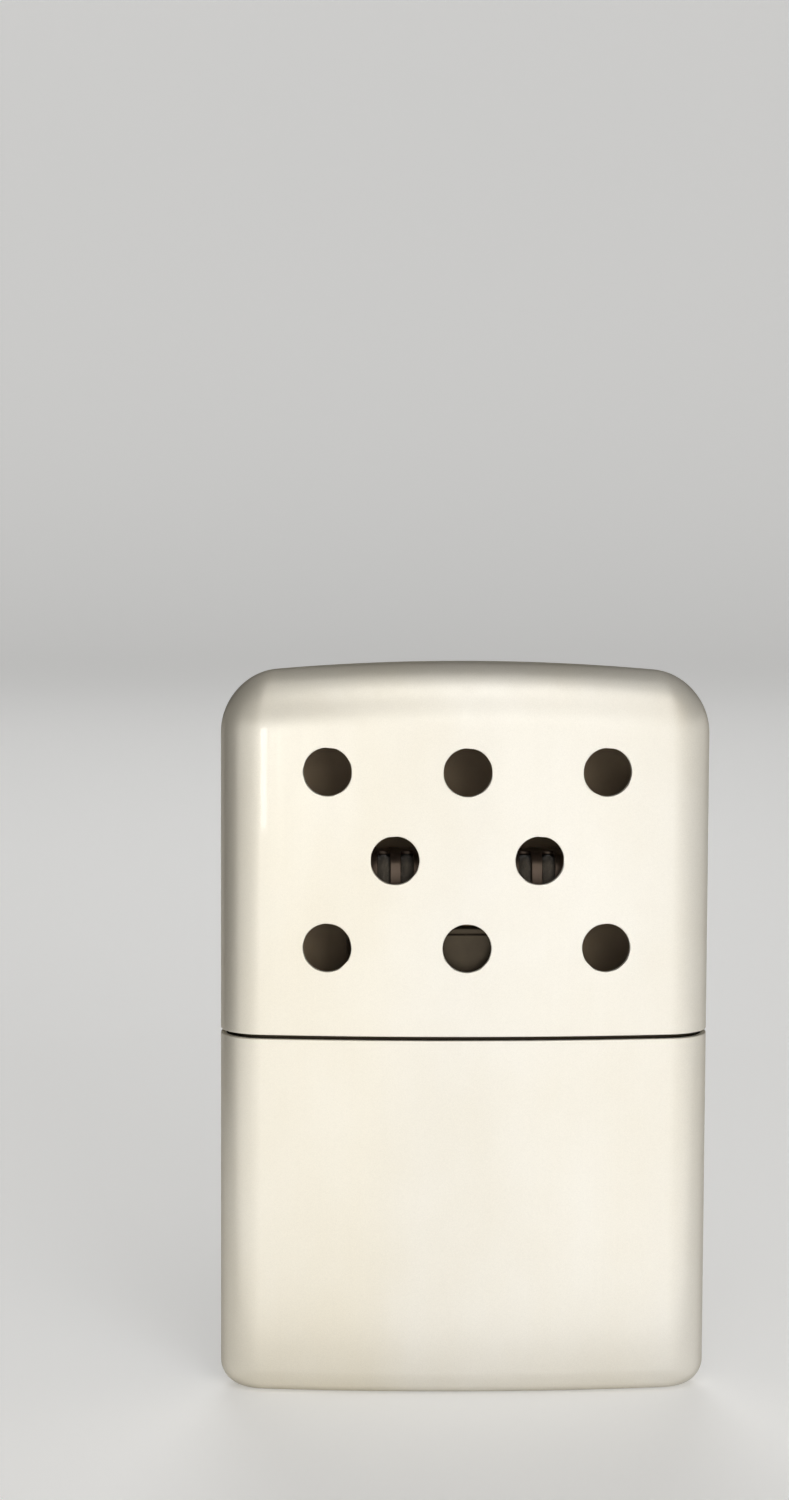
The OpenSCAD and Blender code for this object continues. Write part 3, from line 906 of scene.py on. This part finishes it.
def make_mat():
    """Fibre mat that swells into the cage's slots."""
    inset = BURNER_T + MAT_GAP
    form = bar_form(BURNER_W - 2 * inset, BURNER_D - 2 * inset, BURNER_R - inset,
                    PLATE_HIGH.z + MAT_LIFT, CAGE_HIGH.z - inset,
                    tuple(r - inset for r in CAGE_EDGE))
    cage = bar_form(BURNER_W, BURNER_D, BURNER_R)
    low = BASE_HIGH.z + SLOT_SILL - form.rim
    high = form.wall_t + form.edge_t + 0.9
    s_lines = form.s_lines(0.25, 12) - form.quarter
    t_lines = form.t_lines(0.0, 0.28, 8, 5)
    grid = grid_of(s_lines, t_lines)
    points, normals = form.at(grid, 0.0), form.normal(grid, 0.0)
    swell = np.zeros(len(grid))
    for s in slot_centres(cage):
        centre = s if abs(s) < cage.quarter else s - 2 * cage.quarter + 2 * form.quarter
        across = np.clip(np.abs(grid[:, 0] - centre) / (SLOT_W * 0.72), 0, 1)
        along = smooth((grid[:, 1] - low) / 0.8) * smooth((high - grid[:, 1]) / 0.8)
        swell = np.maximum(swell, np.cos(across * math.pi / 2) ** 2 * along)
    points = points + normals * (MAT_SWELL * swell)[:, None]
    points = lumpy(points, normals, MAT_LUMP, 1.9, 3)
    n = len(s_lines)
    rows = points.reshape(len(t_lines), n, 3)
    skin = Skin()
    skin.strip(rows, normals.reshape(rows.shape), False)
    centre_line = rows[0] * [1.0, 0.0, 1.0]
    skin.strip(np.array([centre_line, rows[0]]), np.tile([0.0, 0.0, -1.0], (2, n, 1)), False)
    mat = skin.build("fibre_pad", [FIBRE], "burner", "catalyst_mat")
    soften(mat)


def soften(piece):
    """Normals from the lumpy surface itself."""
    mesh = piece.data
    mesh.attributes.remove(mesh.attributes["custom_normal"])


def make_pad(name, node, outline, front, back, plane, edge_r, lump,
             material, seed, step):
    """A pad on a rounded outline, thick in the middle and rounded to its rim.
    front and back give its two faces over the outline's plane."""
    (cx, cy), (hx, hy) = outline.c, outline.half
    grid = grid_of(np.arange(cx - hx + step / 2, cx + hx, step),
                   np.arange(cy - hy + step / 2, cy + hy, step))
    rings = [outline.ring(0.0, step)[0]]
    for inset in (0.12, 0.4, 0.9, 1.6):
        share = inset * edge_r / 2.4
        small = Hole(cx, cy, hx - share, hy - share, max(0.3, outline.r - share), 6)
        rings.append(small.ring(0.0, step)[0])
    keep = outline.distance(grid) < -edge_r * 0.8
    places, faces = delaunay(np.concatenate([*rings, grid[keep]]), ring_edges(0, len(rings[0])))
    depth = np.clip(-outline.distance(places) / edge_r, 0, 1)
    share = np.sqrt(np.clip(1 - (1 - depth) ** 2, 0, 1))
    lo, hi = front(places), back(places)
    middle, half = (lo + hi) / 2, (hi - lo) / 2
    skin = Skin()
    for side in (-1, 1):
        across = middle + side * half * share
        points = plane(places, across)
        way = plane(places * 0, np.full(len(places), float(side))) - plane(places * 0, 0 * across)
        moved = lumpy(points, way * share[:, None], lump, 0.45, seed)
        skin.add(moved, way, faces)
    piece = skin.build(name, [material], "tank", node)
    soften(piece)


def make_filling():
    inset = COLLAR_INSET + COLLAR_T + COTTON_GAP
    w, d = BODY_W - 2 * inset, BODY_D - 2 * inset
    bow = FACE_BOW_R - inset
    layers = ("front", "middle", "rear")
    boxes = [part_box("wadding_" + name) for name in layers]
    low, high = (corner.z / MM for corner in boxes[1])
    outline = Hole(0, (low + high) / 2, w / 2, (high - low) / 2, COTTON_CORNER_R, 10)

    def bowed(places):
        return d / 2 - (bow - np.sqrt(bow ** 2 - places[:, 0] ** 2))

    def level(y):
        return lambda places: np.full(len(places), y)

    def upright(places, across):
        return np.stack([places[:, 0], across, places[:, 1]], 1)

    def flat(places, across):
        return np.column_stack([places, across])

    limits = [(lambda p: -bowed(p), level(boxes[0][1].y / MM)),
              (level(boxes[1][0].y / MM), level(boxes[1][1].y / MM)),
              (level(boxes[2][0].y / MM), bowed)]
    for i, ((front, back), name) in enumerate(zip(limits, layers)):
        make_pad("cotton_" + name, "wadding_" + name, outline, front, back, upright,
                 COTTON_EDGE_R, COTTON_LUMP, COTTON, 10 + 3 * i, 1.1)

    lo, hi = (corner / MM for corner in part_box("throat_felt"))
    pad = Hole(0, 0, hi.x, hi.y, NECK_R - NECK_T - FELT_GAP, 12)
    make_pad("felt_pad", "throat_felt", pad, level(lo.z), level(hi.z), flat,
             FELT_EDGE_R, FELT_LUMP, FELT, 31, 0.7)


make_lid()
make_case()
make_collar()
make_neck()
make_burner_base()
make_cage()
make_mat()
make_filling()

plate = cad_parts["support_plate"].data.materials
plate.clear()
plate.append(BURNER_STEEL)


# ------------------------------------------------------------------ stage
# Sizes of the stage are in metres; angles are in degrees round the object, with
# 0 in front of it and 90 on its right
FLOOR_R = 0.9
BOWL_R = 1.9
BOWL_RISE = 0.45
FLOOR_GLOW = 0.24
WALL_GLOW = 0.46
GLOW_REACH = (0.2, 1.7)
FLOOR_SECTORS = 96


def make_floor():
    """A pale floor that curves up into a low wall all round."""
    rings = [(r, 0.0) for r in np.linspace(0.02, FLOOR_R, 12)]
    rings += [(FLOOR_R + (BOWL_R - FLOOR_R) * math.sin(a), BOWL_RISE * (1 - math.cos(a)))
              for a in np.linspace(0, math.pi / 2, 20)[1:]]
    count = FLOOR_SECTORS
    points = [(0.0, 0.0, 0.0)] + [(r * math.cos(TAU * i / count), r * math.sin(TAU * i / count), z)
                                  for r, z in rings for i in range(count)]
    faces = [(0, 1 + i, 1 + (i + 1) % count) for i in range(count)]
    for k in range(len(rings) - 1):
        low, high = 1 + k * count, 1 + (k + 1) * count
        faces += [(low + i, high + i, high + (i + 1) % count, low + (i + 1) % count)
                  for i in range(count)]
    mesh = bpy.data.meshes.new("floor")
    mesh.from_pydata(points, [], faces)
    mesh.polygons.foreach_set("use_smooth", np.ones(len(faces), bool))
    m = Nodes("pale_floor")
    path = m.add("ShaderNodeLightPath").outputs
    seen = m.calc("MAXIMUM", path["Is Camera Ray"], path["Is Glossy Ray"])
    seen = m.calc("MAXIMUM", seen, path["Is Transmission Ray"])
    reach = m.add("ShaderNodeVectorMath", operation="LENGTH")
    m.join(m.place, reach.inputs[0])
    outward = m.map_range(reach.outputs["Value"], GLOW_REACH, (FLOOR_GLOW, WALL_GLOW),
                          "SMOOTHSTEP")
    mesh.materials.append(m.set(Base_Color=(0.80, 0.80, 0.795, 1.0), Roughness=0.85,
                                Emission_Color=(1.0, 1.0, 0.99, 1.0),
                                Emission_Strength=m.calc("MULTIPLY", seen, outward)))
    add_object("floor", mesh)


def round_the_object(azimuth, distance, height):
    """A place at an azimuth round the object."""
    turn = math.radians(azimuth)
    return Vector((distance * math.sin(turn), -distance * math.cos(turn), height))


def soft_box(name, azimuth, distance, height, size, radiance, aim_z=0.04, mirrored=True,
             color=(1.0, 1.0, 1.0), spread=180.0):
    """A soft box that faces the object. A box that isn't mirrored gives even
    light and no reflection of itself."""
    light = bpy.data.lights.new(name, "AREA")
    light.shape = "RECTANGLE"
    light.color = color
    light.spread = math.radians(spread)
    light.size, light.size_y = size
    light.energy = radiance * math.pi * size[0] * size[1]
    lamp = add_object(name, light)
    lamp.location = round_the_object(azimuth, distance, height)
    aim = Vector((0.0, 0.0, aim_z)) - lamp.location
    lamp.rotation_euler = aim.to_track_quat("-Z", "Y").to_euler()
    lamp.visible_camera = False
    lamp.visible_glossy = mirrored
    return lamp


def flag(name, azimuth, distance, size, low=0.001):
    """A dark card that stands upright and faces the object, out of sight."""
    w, h = size[0] / 2, size[1]
    mesh = bpy.data.meshes.new(name)
    mesh.from_pydata([(-w, 0, 0), (w, 0, 0), (w, 0, h), (-w, 0, h)], [], [(0, 1, 2, 3)])
    m = Nodes(name)
    mesh.materials.append(m.set(Base_Color=FLAG_BROWN, Roughness=0.9, Specular_IOR_Level=0.0))
    card = add_object(name, mesh)
    card.location = round_the_object(azimuth, distance, low)
    card.rotation_euler = (0.0, 0.0, math.radians(azimuth))
    card.visible_camera = False
    card.visible_diffuse = False
    card.visible_shadow = False


# The radiance of each lamp, and the azimuth and radiance of the tent's narrow
# side panels
TENT = 1.05
TENT_TOP = 0.56
TENT_CREST = 0.55
TENT_SIDES = ((-28, 0.24), (-43, 0.13), (-58, 0.08), (-73, 0.06),
              (36, 0.50), (51, 0.35), (66, 0.17), (81, 0.08), (96, 0.04))
BOUNCE = 0.42
STRIP = 16.0
WASH = 0.57
BACK = 1.1
BACK_TOP = 0.06
WORLD = 0.10
WASH_SPREAD = 50.0
WARM = (1.0, 0.91, 0.76)
WORLD_COLOR = (1.0, 0.97, 0.92, 1.0)
FLAG_BROWN = (0.05, 0.042, 0.026, 1.0)


def make_lights():
    # The tent in front and above: what the lacquer mirrors
    soft_box("tent", 8, 0.80, 0.62, (0.62, 1.45), TENT)
    for azimuth, radiance in TENT_SIDES:
        soft_box("tent_side", azimuth, 0.80, 0.44, (0.21, 0.84), radiance, color=WARM)
    bounce = soft_box("bounce", 3, 0.32, 0.002, (0.36, 0.60), BOUNCE)
    bounce.rotation_euler = (math.pi, 0.0, 0.0)
    # Even light from both sides, then what the crown and the back mirror
    soft_box("wash", 18, 1.2, 0.24, (0.4, 0.36), WASH, mirrored=False, spread=WASH_SPREAD)
    soft_box("back", 180, 1.2, 0.40, (0.6, 0.4), BACK, mirrored=False, spread=WASH_SPREAD)
    soft_box("back_top", 180, 0.80, 0.85, (1.0, 0.5), BACK_TOP)
    soft_box("tent_top", 4, 0.55, 0.80, (0.62, 0.40), TENT_TOP)
    soft_box("tent_crest", 4, 0.12, 0.95, (0.62, 0.30), TENT_CREST)
    # The bright line down the left, and the dark edges beside and above it
    strip = soft_box("left_strip", -20, 0.30, 0.050, (0.010, 0.05), STRIP, aim_z=0.06)
    strip.visible_diffuse = False
    flag("left_flag", -106, 0.16, (0.15, 0.35))
    flag("crown_flag", 180, 0.30, (0.50, 0.19), low=0.06)
    world = bpy.data.worlds.new("studio")
    world.use_nodes = True
    background = world.node_tree.nodes["Background"].inputs
    background["Color"].default_value = WORLD_COLOR
    background["Strength"].default_value = WORLD
    bpy.context.scene.world = world


# The camera, fitted to the photograph taken as 789 x 1500
CAMERA_MM = (-18.5, -386.6, 104.8)
CAMERA_YAW, CAMERA_PITCH, CAMERA_ROLL = 1.65, 5.58, 0.24
FOCAL_PX = 3739.0
PHOTO_H = 1500.0
SENSOR = 36.0


def make_camera():
    data = bpy.data.cameras.new("camera")
    data.sensor_fit = "VERTICAL"
    data.sensor_height = SENSOR
    data.lens = FOCAL_PX / PHOTO_H * SENSOR
    data.clip_start = 0.01
    camera = add_object("camera", data)
    turn = (Matrix.Rotation(math.radians(-CAMERA_YAW), 4, "Z")
            @ Matrix.Rotation(math.radians(90 - CAMERA_PITCH), 4, "X")
            @ Matrix.Rotation(math.radians(CAMERA_ROLL), 4, "Z"))
    camera.matrix_world = Matrix.Translation(Vector(CAMERA_MM) * MM) @ turn
    bpy.context.scene.camera = camera


make_floor()
make_lights()
make_camera()
bpy.context.scene.view_settings.view_transform = "Standard"
